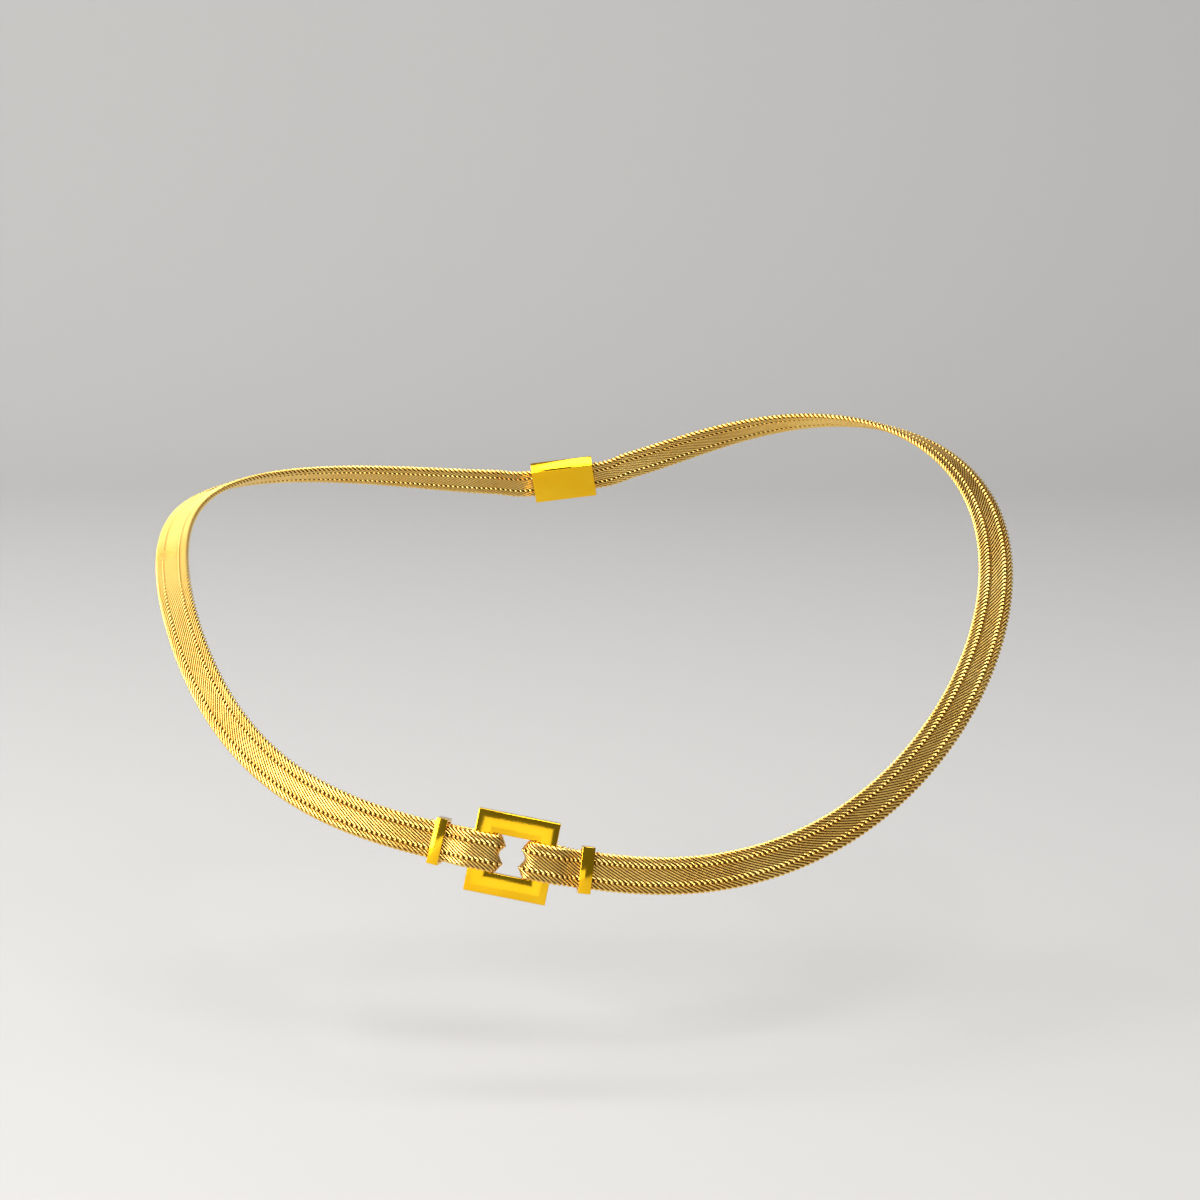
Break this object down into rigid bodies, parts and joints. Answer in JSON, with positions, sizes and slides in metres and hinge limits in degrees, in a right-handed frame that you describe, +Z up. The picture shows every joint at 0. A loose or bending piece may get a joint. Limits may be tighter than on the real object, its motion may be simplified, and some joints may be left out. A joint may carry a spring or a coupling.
{
  "type": "collar choker necklace",
  "caption": "Collar necklace of flat woven gold-coloured wire strap, folded through a square buckle frame with keepers, with a plain clasp at the nape.",
  "frame": {"origin": "middle of the neck side of the clasp, where the necklace lies on the nape", "axes": "+Z up, -Y to the front of the neck, +X to the viewer's right when seen from the front, which is the wearer's left"},
  "size_m": [0.1584, 0.1089, 0.0752],
  "materials": {
    "polished_gold": "mirror-polished yellow gold colour with a fine bright bevel along every edge",
    "woven_gold": "flat weave with slanted ribs of fine bright gold-coloured wire, dark in the gaps between the wires"
  },
  "bodies": {
    "root": {"buckle_frame": "polished_gold", "keeper_left": "polished_gold", "keeper_right": "polished_gold", "strap_left": "woven_gold", "strap_right": "woven_gold", "back_clasp": "polished_gold"}
  },
  "joints": []
}
